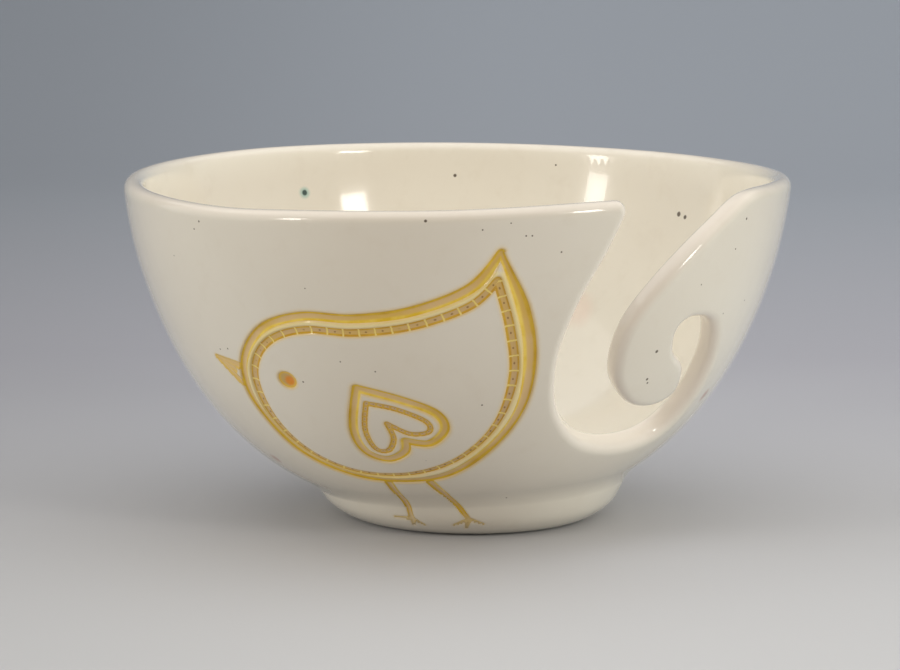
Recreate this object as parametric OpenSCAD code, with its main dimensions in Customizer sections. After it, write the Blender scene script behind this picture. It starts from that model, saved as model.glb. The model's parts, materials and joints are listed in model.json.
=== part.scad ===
// Yarn bowl: a glazed stoneware bowl with a curled yarn slot in its wall and a bird
// carved beside it. The bowl stands on z = 0. The rim is centred on the Z axis.
// -Y is the front, where the bird is, and the yarn slot is at the front right.

/* [Bowl] */
// Outer diameter at the rim
rim_d = 165; // [158:1:172]
// Height from the table to the top of the rim
bowl_h = 87; // [84:1:90]
// Thickness of the wall at the rim
wall_rim = 5; // [4.4:0.1:5.6]
// Thickness of the wall where it meets the floor
wall_floor = 6; // [5:0.1:7]

/* [Foot] */
// Radius of the ring that touches the table
foot_r = 28.8; // [28:0.1:30]
// Radius of the hollow inside the foot
foot_hollow_r = 24; // [22:0.5:25]
// How far the foot sits to the right of the rim's centre
foot_shift_x = 3.4; // [0:0.1:4]
// How far the foot sits behind the rim's centre
foot_shift_y = -0.8; // [-1:0.1:1]

/* [Yarn slot] */
// Direction that the slot faces, turned from the front towards +X
slot_turn = 38; // [34:1:42]
// Downward tilt of the cut, square to the wall at the middle of the slot
slot_tilt = 24; // [20:1:28]

/* [Bird] */
// Direction that the bird faces, turned from the front towards +X
bird_turn = -18; // [-22:1:-16]
// Width of the carved line round the bird
outline_w = 2.4; // [2:0.1:2.5]
// Width of the line of stitch marks inside it
stitch_w = 1.5; // [1:0.1:1.6]
// Width of the lines of the legs and toes
leg_w = 1.5; // [1:0.1:1.8]
// Radius of the eye
eye_r = 2.5; // [2:0.1:3]
// Depth of every carved line
carve_depth = 1; // [0.8:0.1:1.4]
// How far the pooled glaze lies below the face of the wall
glaze_drop = 0.3; // [0.2:0.1:0.4]

/* [Colours] */
// Clear glaze over white clay
clay_colour = "#e6e0d2";
// Pooled yellow glaze
glaze_colour = "#c39a2c";
// Darker glaze in the eye
eye_colour = "#c47a14";

/* [Hidden] */

rim_r = rim_d / 2;
// Sizes relative to the nominal 165 x 87 bowl, for the drawn outlines
wide = rim_r / 82.5;
tall = bowl_h / 87;
// Steps along a curved stretch of the wall's section, and between points of an outline
wall_steps = 14;
rim_steps = 8;
line_steps = 4;
// Points left out on each side of a sharp corner
corner_room = 2;
// A cut starts inside the bowl, clear of its axis, and runs out through the wall
cut_start = 25;
cut_reach = 80;
// How far the toes start above the end of the ankle
toe_overlap = 0.3;
// Gap that keeps two glaze pools apart
pool_gap = 0.25;
round_fn = 120;

// Outside of the wall in section: one Bezier curve from the flat floor to the rim
base_z = 6 * tall;
floor_r = 26 * wide;
rim_round = wall_rim / 2;
wall_top = bowl_h - rim_round;
wall_curve = [
    [floor_r, base_z],
    [floor_r + 13.75 * wide, base_z],
    [rim_r - 7 * wide, base_z + 19 * tall],
    [rim_r, wall_top]
];

// ---- curves ----

function bezier(p, t) =
    pow(1 - t, 3) * p[0] + 3 * pow(1 - t, 2) * t * p[1] + 3 * (1 - t) * t * t * p[2] + pow(t, 3) * p[3];

function bezier_slope(p, t) =
    3 * pow(1 - t, 2) * (p[1] - p[0]) + 6 * (1 - t) * t * (p[2] - p[1]) + 3 * t * t * (p[3] - p[2]);

function unit(v) = v / norm(v);

// Point between b and c on a smooth curve through a, b, c and d
function spline(a, b, c, d, t) =
    (2 * b + (c - a) * t + (2 * a - 5 * b + 4 * c - d) * t * t + (3 * b - a - 3 * c + d) * pow(t, 3)) / 2;

// Smooth curve through the points of a list, from its first to its last
function smooth(p) = let (last = len(p) - 1) [
    for (i = [0 : last - 1], k = [0 : line_steps - 1])
        spline(p[max(i - 1, 0)], p[i], p[i + 1], p[min(i + 2, last)], k / line_steps),
    p[last]
];

// Closed curve from stretches that meet at sharp corners, with room left beside each corner
function joined(stretches) = [
    for (s = stretches)
        let (c = smooth(s))
        each [c[0], for (i = [corner_room : len(c) - 1 - corner_room]) c[i]]
];

// How much of a step along the wall shows on the bird's flat drawing, sideways and upwards
function seen(p) =
    let (r = lookup(p.y, wall_reach))
    [sqrt(r * r - p.x * p.x) / r, lookup(p.y, wall_rise)];

function times(a, b) = [a.x * b.x, a.y * b.y];
function over(a, b) = [a.x / b.x, a.y / b.y];
function to_the_right(v) = [v.y, -v.x];

// Closed counter-clockwise loop moved outwards along the wall by d, or inwards where d < 0
function moved(loop, d) = let (n = len(loop)) [
    for (i = [0 : n - 1])
        let (
            scale = seen(loop[i]),
            before = to_the_right(unit(over(loop[i] - loop[(i + n - 1) % n], scale))),
            after = to_the_right(unit(over(loop[(i + 1) % n] - loop[i], scale)))
        )
        loop[i] + d / (1 + before * after) * times(before + after, scale)
];

// Both sides of a line of width w along an open curve
function stroke(p, w) = let (n = len(p)) [
    for (side = [1, -1], k = [0 : n - 1])
        let (
            i = side > 0 ? k : n - 1 - k,
            scale = seen(p[i]),
            along = unit(over(p[min(i + 1, n - 1)] - p[max(i - 1, 0)], scale))
        )
        p[i] + side * w / 2 * times(to_the_right(along), scale)
];

// Radius and steepness of the wall at each height
wall_samples = [for (i = [3 : 20]) i / 20];
wall_reach = [for (t = wall_samples) let (p = bezier(wall_curve, t)) [p.y, p.x]];
wall_rise = [
    for (t = wall_samples)
        [bezier(wall_curve, t).y, unit(bezier_slope(wall_curve, t)).y]
];

// ---- outlines, each drawn on a flat plane that faces its own direction ----

// Sideways and upwards on the wall, for the bird
function on_bird(p) = [for (q = p) [q.x * wide, q.y * tall]];

// Sideways and up the slope of the wall, for the slot
function on_slot(p) = [for (q = p) [q.x * wide, q.y * (wide + tall) / 2]];

bird_loop = joined([on_bird([
    [34.4, 75.5], [27.5, 67.2], [14, 61.5], [0, 59.2], [-13, 59], [-24, 55.2], [-31, 47.5],
    [-32.5, 39.5], [-29.5, 32], [-22, 23], [-10.5, 17.8], [2, 16.7], [15, 19.3], [27, 27.8],
    [35, 38.3], [38.5, 51], [38, 63], [34.4, 75.5]
])]);

stitch_loop = joined([on_bird([
    [33.3, 69], [27, 63], [14, 58], [0, 55.8], [-12, 55.8], [-21, 53.2], [-27, 48],
    [-29.2, 41], [-26.7, 31.5], [-19.5, 23.4], [-8, 18.7], [6, 19], [19, 24.2], [29, 33.7],
    [34.5, 46], [35, 58], [33.3, 69]
])]);

heart_loop = joined([
    on_bird([[7.4, 28.4], [13, 28], [17.3, 32], [15.8, 36.3], [8, 39.5], [-1.7, 41.8]]),
    on_bird([[-1.7, 41.8], [-4.8, 31], [-3.5, 25], [1.5, 23], [6.3, 25.3], [7.4, 28.4]])
]);

heart_stitch_loop = joined([
    on_bird([[4, 33], [9, 30.5], [13.5, 31.2], [13.3, 34], [7, 36.9], [0, 38.1]]),
    on_bird([[0, 38.1], [-1.8, 31], [-0.6, 26], [2.5, 25.6], [4.7, 29], [4, 33]])
]);

eye_centre = on_bird([[-19.7, 42.5]])[0];
beak_upper = on_bird([[-31, 43.9], [-40.4, 45.8]]);
beak_lower = on_bird([[-40.4, 45.8], [-32, 38.6]]);
// Legs on the wall, then their ends and toes on the foot
left_leg_line = smooth(on_bird([[-0.8, 15], [-0.5, 12.5], [0.1, 9.6]]));
right_leg_line = smooth(on_bird([[10.3, 15.5], [11.2, 12.8], [12.3, 9.6]]));
left_ankle = on_bird([[0.2, 8.8], [0.8, 4.8]]);
right_ankle = on_bird([[12.5, 8.8], [14, 4.8]]);
left_toe_tips = on_bird([[-3.8, 4.9], [0.6, 3], [3.4, 3.2]]);
right_toe_tips = on_bird([[10.4, 3.5], [12.6, 2.6], [17.2, 3.9]]);

// The J of the slot: down the lip's side, round the bottom, up and over the eye of the
// curl, round the curl's tip, and back up its outer side to the rim
slot_loop = smooth(on_slot([
    [-4.8, 133.2], [-11.2, 115.2], [-17, 101.2], [-22.4, 87.6], [-24, 73.2], [-19.5, 58.9],
    [-9.3, 48.9], [4.1, 44.9], [17.6, 46.1], [23.9, 54.1], [25.5, 67], [21.3, 78.6],
    [12.9, 82.2], [7.9, 80], [9, 73.9], [14.7, 68.2], [15.2, 60.5], [7.9, 57.6], [-1, 60.4],
    [-7.9, 68.9], [-8.4, 81.2], [-1.6, 92.1], [9, 101.2], [22, 108], [36, 114], [50, 134]
]));

// ---- turned shapes ----

// Outside of the wall, moved into the clay by d
function outer_section(d) = [
    for (i = [0 : wall_steps])
        let (t = i / wall_steps, s = unit(bezier_slope(wall_curve, t)))
        bezier(wall_curve, t) + d * [-s.y, s.x]
];

// Inside of the wall: the outside moved in by the thickness, which changes up the wall
inner_section = [
    for (i = [0 : wall_steps - 1])
        let (t = i / wall_steps, s = unit(bezier_slope(wall_curve, t)))
        bezier(wall_curve, t) + (wall_floor + (wall_rim - wall_floor) * t) * [-s.y, s.x]
];

// Round top of the rim, from the outside over to the inside
rim_section = [
    for (i = [1 : rim_steps])
        let (a = 180 * i / rim_steps)
        [rim_r - rim_round + rim_round * cos(a), wall_top + rim_round * sin(a)]
];

// Everything inside the bowl's outer face, moved in by d
module outer_body(d) {
    section = outer_section(d);
    rotate_extrude($fn = round_fn)
        polygon(concat([[0, base_z + d]], section, [[0, section[wall_steps].y]]));
}

module bowl_shell() {
    inner = [for (i = [wall_steps - 1 : -1 : 0]) inner_section[i]];
    rotate_extrude($fn = round_fn)
        polygon(concat(
            [[0, base_z]], outer_section(0), rim_section, inner, [[0, base_z + wall_floor]]
        ));
}

// Foot in section, from the table up to where the wall swallows it
foot_h = 13 * tall;
function foot_section(d) = [
    [foot_r - d, 0],
    [foot_r + 2.2 - d, 0.5],
    [foot_r + 5.2 - d, 2.2],
    [foot_r + 7.9 - d, 4.8],
    [foot_r + 10.2 - d, 9.5],
    [foot_r + 11 - d, foot_h]
];

// The foot filled solid, with its outer face moved in by d
module foot_body(d) {
    translate([foot_shift_x, foot_shift_y, 0])
        rotate_extrude($fn = round_fn)
            polygon(concat([[0, 0]], foot_section(d), [[0, foot_h]]));
}

// ---- cuts ----

// Stands a drawing up on the Z axis, facing the bird, and pushes it out through the wall
module push_bird() {
    rotate([0, 0, bird_turn])
        rotate([90, 0, 0])
            translate([0, 0, cut_start])
                linear_extrude(cut_reach)
                    children();
}

// The same for the slot, tilted square to the wall
module push_slot() {
    rotate([0, 0, slot_turn])
        rotate([90 + slot_tilt, 0, 0])
            translate([0, 0, cut_start])
                linear_extrude(cut_reach)
                    children();
}

// A band of width w along a closed loop
module band(loop, w) {
    difference() {
        polygon(moved(loop, w / 2));
        polygon(moved(loop, -w / 2));
    }
}

module outline_art() {
    band(bird_loop, outline_w);
}

module stitch_art() {
    band(stitch_loop, stitch_w);
}

module heart_art() {
    band(heart_loop, outline_w * 0.85);
}

module heart_stitch_art() {
    band(heart_stitch_loop, stitch_w * 0.8);
}

module beak_art() {
    difference() {
        union() {
            polygon(stroke(beak_upper, leg_w));
            polygon(stroke(beak_lower, leg_w));
        }
        polygon(moved(bird_loop, outline_w / 2 + pool_gap));
    }
}

module eye_art() {
    translate(eye_centre)
        circle(r = eye_r, $fn = 48);
}

module leg_art(line) {
    difference() {
        polygon(stroke(line, leg_w));
        polygon(moved(bird_loop, outline_w / 2 + pool_gap));
    }
}

module toes_art(ankle, tips) {
    union() {
        polygon(stroke(ankle, leg_w));
        for (tip = tips)
            polygon(stroke([ankle[1] + [0, toe_overlap], tip], leg_w * 0.7));
    }
}

// The part of a pushed drawing that lies in the wall between two depths
module in_wall(from, to) {
    difference() {
        intersection() {
            push_bird() children();
            outer_body(from);
        }
        outer_body(to);
    }
}

// The same in the face of the foot
module in_foot(from, to) {
    difference() {
        intersection() {
            push_bird() children();
            foot_body(from);
        }
        foot_body(to);
        outer_body(0);
    }
}

// Room for a carved line: everything the drawing covers outside the given depth
module carve_wall() {
    difference() {
        push_bird() children();
        outer_body(carve_depth);
    }
}

module carve_foot() {
    difference() {
        push_bird() children();
        foot_body(carve_depth);
    }
}

// ---- pieces ----

module bowl_wall() {
    color(clay_colour)
        difference() {
            bowl_shell();
            push_slot() polygon(slot_loop);
            carve_wall() outline_art();
            carve_wall() stitch_art();
            carve_wall() heart_art();
            carve_wall() heart_stitch_art();
            carve_wall() beak_art();
            carve_wall() eye_art();
            carve_wall() leg_art(left_leg_line);
            carve_wall() leg_art(right_leg_line);
        }
}

module foot_ring() {
    color(clay_colour)
        difference() {
            foot_body(0);
            outer_body(0);
            translate([foot_shift_x, foot_shift_y, -1])
                cylinder(r = foot_hollow_r, h = foot_h, $fn = round_fn);
            carve_foot() toes_art(left_ankle, left_toe_tips);
            carve_foot() toes_art(right_ankle, right_toe_tips);
        }
}

module bird_outline() {
    color(glaze_colour) in_wall(glaze_drop, carve_depth) outline_art();
}

module bird_stitches() {
    color(glaze_colour) in_wall(glaze_drop, carve_depth) stitch_art();
}

module bird_beak() {
    color(glaze_colour) in_wall(glaze_drop, carve_depth) beak_art();
}

module bird_eye() {
    color(eye_colour) in_wall(glaze_drop, carve_depth) eye_art();
}

module heart_outline() {
    color(glaze_colour) in_wall(glaze_drop, carve_depth) heart_art();
}

module heart_stitches() {
    color(glaze_colour) in_wall(glaze_drop, carve_depth) heart_stitch_art();
}

module left_leg() {
    color(glaze_colour) in_wall(glaze_drop, carve_depth) leg_art(left_leg_line);
}

module right_leg() {
    color(glaze_colour) in_wall(glaze_drop, carve_depth) leg_art(right_leg_line);
}

module left_toes() {
    color(glaze_colour) in_foot(glaze_drop, carve_depth) toes_art(left_ankle, left_toe_tips);
}

module right_toes() {
    color(glaze_colour) in_foot(glaze_drop, carve_depth) toes_art(right_ankle, right_toe_tips);
}

bowl_wall();
foot_ring();
bird_outline();
bird_stitches();
bird_beak();
bird_eye();
heart_outline();
heart_stitches();
left_leg();
right_leg();
left_toes();
right_toes();
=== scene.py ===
# Yarn bowl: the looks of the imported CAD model. Every length in the shape code is in millimetres,
# in the CAD frame (+Z up, -Y front, +X right), and becomes metres when a mesh is made.
# A place on the wall is an angle from the front, theta, and a length along the wall from its
# centre, rho. Names start with o_ for the outer face, i_ for the inner face and e_ for the edge.
import json
import math

import bpy
import numpy as np
from mathutils import Matrix, Vector
from mathutils.geometry import delaunay_2d_cdt
from mathutils.kdtree import KDTree


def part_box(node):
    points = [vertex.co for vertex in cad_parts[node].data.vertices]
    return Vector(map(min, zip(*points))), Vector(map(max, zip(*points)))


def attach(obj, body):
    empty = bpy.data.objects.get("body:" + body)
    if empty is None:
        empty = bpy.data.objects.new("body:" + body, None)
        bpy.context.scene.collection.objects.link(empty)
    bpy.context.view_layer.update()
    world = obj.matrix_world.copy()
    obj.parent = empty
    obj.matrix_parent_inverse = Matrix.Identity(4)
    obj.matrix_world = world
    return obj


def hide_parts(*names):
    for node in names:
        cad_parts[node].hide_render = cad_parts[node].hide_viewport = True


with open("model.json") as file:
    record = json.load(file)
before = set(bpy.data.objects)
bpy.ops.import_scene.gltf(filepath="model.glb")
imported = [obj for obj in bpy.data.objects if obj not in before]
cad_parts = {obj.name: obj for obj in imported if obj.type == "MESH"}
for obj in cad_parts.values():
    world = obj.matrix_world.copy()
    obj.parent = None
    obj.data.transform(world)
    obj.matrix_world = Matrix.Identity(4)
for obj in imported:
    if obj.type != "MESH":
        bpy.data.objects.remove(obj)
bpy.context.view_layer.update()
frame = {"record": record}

MM = 1000.0

# -------------------- sizes read from the frame

wall_lo, wall_hi = (np.array(c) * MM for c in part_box("bowl_wall"))
RIM_R = (wall_hi[0] - wall_lo[0]) / 2
RIM_TOP = wall_hi[2]
BASE_Z = wall_lo[2]
# The outlines are drawn for a bowl of this radius and height
DRAWN_R, DRAWN_H = 82.5, 87.0
WIDE = RIM_R / DRAWN_R
TALL = RIM_TOP / DRAWN_H
# Thickness of the wall at the rim and at the floor
T_RIM, T_FLOOR = 5.0, 6.0
# Radius of the foot's contact ring and of the hollow inside it
FOOT_R, HOLLOW_R = 28.8, 24.0
mount = frame["record"]["mounts"][0]["pos_m"]
FOOT_X = mount[0] * MM - (FOOT_R + HOLLOW_R) / 2
FOOT_Y = mount[1] * MM
BIRD_TURN = math.radians(-18)
SLOT_TURN = math.radians(38)
SLOT_TILT = math.radians(24)


# -------------------- small helpers

def smoothstep(x):
    x = np.clip(x, 0.0, 1.0)
    return x * x * (3 - 2 * x)


def unit(v):
    return v / np.maximum(np.linalg.norm(v, axis=-1, keepdims=True), 1e-12)


def catmull(points, steps):
    """Smooth curve through the points, from the first to the last."""
    p = np.array(points, float)
    out = []
    for i in range(len(p) - 1):
        a, b, c, d = p[max(i - 1, 0)], p[i], p[i + 1], p[min(i + 2, len(p) - 1)]
        for k in range(steps):
            t = k / steps
            out.append((2 * b + (c - a) * t + (2 * a - 5 * b + 4 * c - d) * t * t
                        + (3 * b - a - 3 * c + d) * t ** 3) / 2)
    out.append(p[-1])
    return np.array(out)


def resample(p, step, closed=False):
    """Points at even spacing along a polyline."""
    q = np.vstack([p, p[:1]]) if closed else p
    s = np.concatenate([[0], np.cumsum(np.linalg.norm(np.diff(q, axis=0), axis=1))])
    n = max(int(round(s[-1] / step)), 2)
    at = np.linspace(0, s[-1], n + 1)
    out = np.stack([np.interp(at, s, q[:, k]) for k in range(q.shape[1])], axis=1)
    return out[:-1] if closed else out


HALVINGS = 50


def leaves_at(low, high, is_outside):
    """The distance at which each point leaves a shape, found by halving the span again and again."""
    for _ in range(HALVINGS):
        mid = (low + high) / 2
        out = is_outside(mid)
        high = np.where(out, mid, high)
        low = np.where(out, low, mid)
    return (low + high) / 2


# -------------------- the wall's section

FLOOR_R = 26.0 * WIDE
# Control points of the wall's curve, from the edge of the flat floor to the rim
WALL_CURVE = np.array([
    [FLOOR_R, BASE_Z],
    [FLOOR_R + 13.75 * WIDE, BASE_Z],
    [RIM_R - 7 * WIDE, BASE_Z + 19 * TALL],
    [RIM_R, RIM_TOP - T_RIM / 2],
])
CURVE_STEPS = 4000
t_tab = np.linspace(0, 1, CURVE_STEPS + 1)
w0, w1, w2, w3 = (1 - t_tab) ** 3, 3 * (1 - t_tab) ** 2 * t_tab, 3 * (1 - t_tab) * t_tab ** 2, t_tab ** 3
rz_tab = np.stack([w0, w1, w2, w3], axis=1) @ WALL_CURVE
rho_tab = FLOOR_R + np.concatenate([[0], np.cumsum(np.linalg.norm(np.diff(rz_tab, axis=0), axis=1))])
slope_tab = unit(np.gradient(rz_tab, t_tab, axis=0))


def wall_at(rho):
    """Radius, height, slope and thickness of the wall at a length rho along its outside, from the centre."""
    rho = np.asarray(rho, float)
    r, z, sr, sz, t = (np.interp(rho, rho_tab, v) for v in (*rz_tab.T, *slope_tab.T, t_tab))
    flat = rho < FLOOR_R
    r = np.where(flat, rho, r)
    sr = np.where(flat, 1.0, sr)
    sz = np.where(flat, 0.0, sz)
    past = np.maximum(rho - rho_tab[-1], 0)
    return r + past * sr, z + past * sz, sr, sz, T_FLOOR + (T_RIM - T_FLOOR) * t


def rho_of_z(z):
    z = np.asarray(z, float)
    past = np.maximum(z - rz_tab[-1, 1], 0) / slope_tab[-1, 1]
    return np.interp(z, rz_tab[:, 1], rho_tab) + past


def r_of_z(z):
    return wall_at(rho_of_z(z))[0]


def frames(theta, rho):
    """Point on the outside, outward normal, direction round the bowl, direction up the wall, thickness."""
    r, z, sr, sz, thick = wall_at(rho)
    s, c = np.sin(theta), np.cos(theta)
    zero = np.zeros_like(r)
    p = np.stack([r * s, -r * c, z], axis=-1)
    n = np.stack([sz * s, -sz * c, -sr], axis=-1)
    e = np.stack([c, s, zero], axis=-1)
    up = np.stack([sr * s, -sr * c, sz], axis=-1)
    return p, n, e, up, thick


# The rim isn't level: height of its top at each angle from the front, in degrees. It is highest at the lip.
RIM_HEIGHTS = [(-180, 85), (-140, 85.2), (-110, 84.7), (-90, 84.5), (-70, 83.7), (-50, 83.3), (-40, 83.3),
               (-30, 84), (-16, 84.7), (0, 85.3), (11, 86), (19, 86.5), (26, 86.8), (38, 86.8),
               (50, 86.4), (62, 86.2), (90, 85.5), (120, 84.8), (150, 84.8)]
RIM_SMOOTHINGS = 30
turn_deg = np.arange(-180, 180, 1.0)
rim_h = np.interp(turn_deg, *zip(*RIM_HEIGHTS), period=360)
for _ in range(RIM_SMOOTHINGS):
    rim_h = (np.roll(rim_h, 1) + 2 * rim_h + np.roll(rim_h, -1)) / 4
rim_h *= TALL
CROWN = RIM_TOP - 0.15
# The unevenness fades in from this height, over this much height
LOWER_FROM, LOWER_OVER = 46.0, 36.0


def lowered(theta, z):
    """How far the wall comes down at that angle and height, so that its rim ends at its own height."""
    drop = np.maximum(CROWN - np.interp(np.degrees(theta), turn_deg, rim_h, period=360), 0.02)
    return drop * smoothstep((z - LOWER_FROM) / LOWER_OVER)


def before_lowering(theta, z):
    """The height that ends up at z once the wall has come down."""
    out = np.array(z, float)
    for _ in range(8):
        out = z + lowered(theta, out)
    return out


def on_wall(uz):
    """From the bird's flat drawing (across, up) to angle and length along the wall."""
    u, z = uz[:, 0] * WIDE, uz[:, 1] * TALL
    theta = BIRD_TURN + np.arcsin(np.clip(u / r_of_z(z), -1, 1))
    return theta, rho_of_z(before_lowering(theta, z))


# -------------------- the drawing, as in the CAD

BIRD = [[34.4, 75.5], [27.5, 67.2], [14, 61.5], [0, 59.2], [-13, 59], [-24, 55.2], [-31, 47.5],
        [-32.5, 39.5], [-29.5, 32], [-22, 23], [-10.5, 17.8], [2, 16.7], [15, 19.3], [27, 27.8],
        [35, 38.3], [38.5, 51], [38, 63], [34.4, 75.5]]
STITCH = [[33.3, 69], [27, 63], [14, 58], [0, 55.8], [-12, 55.8], [-21, 53.2], [-27, 48],
          [-29.2, 41], [-26.7, 31.5], [-19.5, 23.4], [-8, 18.7], [6, 19], [19, 24.2], [29, 33.7],
          [34.5, 46], [35, 58], [33.3, 69]]
HEART_A = [[7.4, 28.4], [13, 28], [17.3, 32], [15.8, 36.3], [8, 39.5], [-1.7, 41.8]]
HEART_B = [[-1.7, 41.8], [-4.8, 31], [-3.5, 25], [1.5, 23], [6.3, 25.3], [7.4, 28.4]]
HEART_STITCH_A = [[4, 33], [9, 30.5], [13.5, 31.2], [13.3, 34], [7, 36.9], [0, 38.1]]
HEART_STITCH_B = [[0, 38.1], [-1.8, 31], [-0.6, 26], [2.5, 25.6], [4.7, 29], [4, 33]]
EYE = [-19.7, 42.5]
BEAK = [[-31, 43.9], [-40.4, 45.8], [-32, 38.6]]
# A short stroke between the beak's two lines, which fills its tip
BEAK_TIP = [[-39.8, 45.4], [-35.6, 43.4]]
LEG_L = [[-1.0, 17.3], [-0.5, 12.5], [0.1, 9.6], [0.3, 8.2]]
LEG_R = [[9.2, 17.6], [11.2, 12.8], [12.3, 9.6], [12.7, 8.2]]
SLOT = [[-4.8, 133.2], [-11.2, 115.2], [-17, 101.2], [-22.4, 87.6], [-24, 73.2], [-19.5, 58.9],
        [-9.3, 48.9], [4.1, 44.9], [17.6, 46.1], [23.9, 54.1], [25.5, 67], [21.3, 78.6],
        [12.9, 82.2], [7.9, 80], [9, 73.9], [14.7, 68.2], [15.2, 60.5], [7.9, 57.6], [-1, 60.4],
        [-7.9, 68.9], [-8.4, 81.2], [-1.6, 92.1], [9, 101.2], [22, 108], [36, 114], [50, 134]]


def wall_line(uz, step=0.15):
    """A line of the drawing as evenly spaced points on the outside of the wall."""
    theta, rho = on_wall(resample(np.array(uz, float), step * 0.5))
    line = frames(theta, rho)[0]
    return resample(line, step)


class Line:
    """Nearest distance to a line, with the length along it at the nearest point."""

    def __init__(self, points):
        self.p = points
        self.s = np.concatenate([[0], np.cumsum(np.linalg.norm(np.diff(points, axis=0), axis=1))])
        self.tree = KDTree(len(points))
        for i, q in enumerate(points):
            self.tree.insert(q, i)
        self.tree.balance()

    def ask(self, pts):
        d = np.empty(len(pts))
        i = np.empty(len(pts), int)
        find = self.tree.find
        for k, q in enumerate(pts.tolist()):
            _, i[k], d[k] = find(q)
        return d, self.s[i], i


def heart(first_half, second_half):
    """A heart from its two halves, with a point at the top and one at the bottom."""
    return np.vstack([catmull(first_half, 16), catmull(second_half, 16)[1:]])


drawn = {
    "outline": catmull(BIRD, 16),
    "stitch": catmull(STITCH, 16),
    "heart": heart(HEART_A, HEART_B),
    "heart_stitch": heart(HEART_STITCH_A, HEART_STITCH_B),
    "beak_top": BEAK[:2],
    "beak_low": BEAK[1:],
    "beak_tip": BEAK_TIP,
    "leg_left": catmull(LEG_L, 12),
    "leg_right": catmull(LEG_R, 12),
}
lines = {name: Line(wall_line(points)) for name, points in drawn.items()}
eye_theta, eye_rho = on_wall(np.array([EYE], float))
eye_p, _, eye_e, eye_up, _ = (v[0] for v in frames(eye_theta, eye_rho))

# -------------------- the sheet's edge: rim and slot

RIM_ROUND = T_RIM / 2
RHO_END = float(rho_of_z(RIM_TOP - RIM_ROUND - 0.55))
RHO_TOP = RHO_END + RIM_ROUND
# How far the slot's edge is rounded on the outer and on the inner face
SLOT_OUT, SLOT_IN = 2.4, 1.3


def slot_line():
    """The slot's outline on the outside of the wall, as angle and length along the wall."""
    flat = catmull(SLOT, 28) * np.array([WIDE, (WIDE + TALL) / 2])
    cos_tilt, sin_tilt = math.cos(SLOT_TILT), math.sin(SLOT_TILT)
    cos_turn, sin_turn = math.cos(SLOT_TURN), math.sin(SLOT_TURN)
    outwards = np.array([cos_tilt * sin_turn, -cos_tilt * cos_turn, -sin_tilt])
    across = np.array([cos_turn, sin_turn, 0.0])
    upwards = np.array([sin_tilt * sin_turn, -sin_tilt * cos_turn, cos_tilt])
    base = flat[:, :1] * across + flat[:, 1:] * upwards

    def is_outside(far):
        q = base + far[:, None] * outwards
        return np.hypot(q[:, 0], q[:, 1]) > r_of_z(np.maximum(q[:, 2], BASE_Z + 0.5))
    far = leaves_at(np.full(len(flat), 22.0), np.full(len(flat), 85.0), is_outside)
    q = base + far[:, None] * outwards
    theta = np.arctan2(q[:, 0], -q[:, 1])
    return theta, rho_of_z(before_lowering(theta, q[:, 2]))


EDGE_STEP = 0.62
RIM_POINTS = 1600


def closed_edge(step):
    """The outermost line of the sheet, how much each point belongs to the slot, and where its corners are."""
    th, rh = slot_line()
    below = np.where(rh < RHO_TOP)[0]
    a, b = below[0], below[-1]

    def cross(i, j):
        f = (RHO_TOP - rh[i]) / (rh[j] - rh[i])
        return th[i] + f * (th[j] - th[i])
    th_a, th_b = cross(a - 1, a), cross(b, b + 1)
    th = np.concatenate([[th_a], th[a:b + 1], [th_b]])
    rh = np.concatenate([[RHO_TOP], rh[a:b + 1], [RHO_TOP]])
    arc = np.linspace(th_b, th_a + 2 * math.pi, RIM_POINTS)[1:-1]
    kind = np.concatenate([np.ones(len(th)), np.zeros(len(arc))])
    th = np.concatenate([th, arc])
    rh = np.concatenate([rh, np.full(len(arc), RHO_TOP)])
    # even spacing
    unwrapped = np.unwrap(np.append(th, th[0]))
    rr = np.append(rh, rh[0])
    rad = wall_at(rr)[0]
    seg = np.hypot(np.diff(unwrapped) * (rad[1:] + rad[:-1]) / 2, np.diff(rr))
    s = np.concatenate([[0], np.cumsum(seg)])
    n = int(round(s[-1] / step))
    at = np.linspace(0, s[-1], n + 1)[:-1]
    theta, rho, slot = (np.interp(at, s, v) for v in (unwrapped, rr, np.append(kind, kind[0])))
    return theta, rho, slot, at, s[-1], [s[0], s[b - a + 2]]


def ring_mean(v, whole=0.0):
    """Mean of the two neighbours of each point of a closed chain that winds once through whole."""
    left, right = np.roll(v, 1), np.roll(v, -1)
    left[0] -= whole
    right[-1] += whole
    return (left + right) / 2


# How far the rounding of each corner reaches along the edge, and how often it is repeated
CORNER_REACH = (4.5, 10.0)
CORNER_ROUNDS = (26, 90)
SECTION_ROUNDS = 40


def round_corners(theta, rho, slot, at, length, corners):
    """Rounds the two corners where the slot meets the rim, and blends the edge's section there."""
    theta = np.unwrap(theta)
    whole = 2 * math.pi * round((theta[-1] - theta[0]) / (2 * math.pi))
    for corner, reach, rounds in zip(corners, CORNER_REACH, CORNER_ROUNDS):
        gap = np.abs(at - corner)
        gap = np.minimum(gap, length - gap)
        near = smoothstep(1.6 * (1 - gap / reach))
        for _ in range(rounds):
            theta = theta + 0.5 * near * (ring_mean(theta, whole) - theta)
            rho = rho + 0.5 * near * (ring_mean(rho) - rho)
    for _ in range(SECTION_ROUNDS):
        slot = (ring_mean(slot) + slot) / 2
    return theta, rho, slot


e_theta, e_rho, e_slot = round_corners(*closed_edge(EDGE_STEP))


def sideways():
    """Direction square to the edge at each of its points, as (round the bowl, up the wall)."""
    dt = (np.roll(e_theta, -1) - np.roll(e_theta, 1) + math.pi) % (2 * math.pi) - math.pi
    t = unit(np.stack([dt * wall_at(e_rho)[0], np.roll(e_rho, -1) - np.roll(e_rho, 1)], axis=1))
    return np.stack([-t[:, 1], t[:, 0]], axis=1)


# the direction into the clay, which is below the rim
e_in = sideways()
if e_in[e_slot < 0.02, 1].mean() > 0:
    e_in = -e_in
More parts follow.
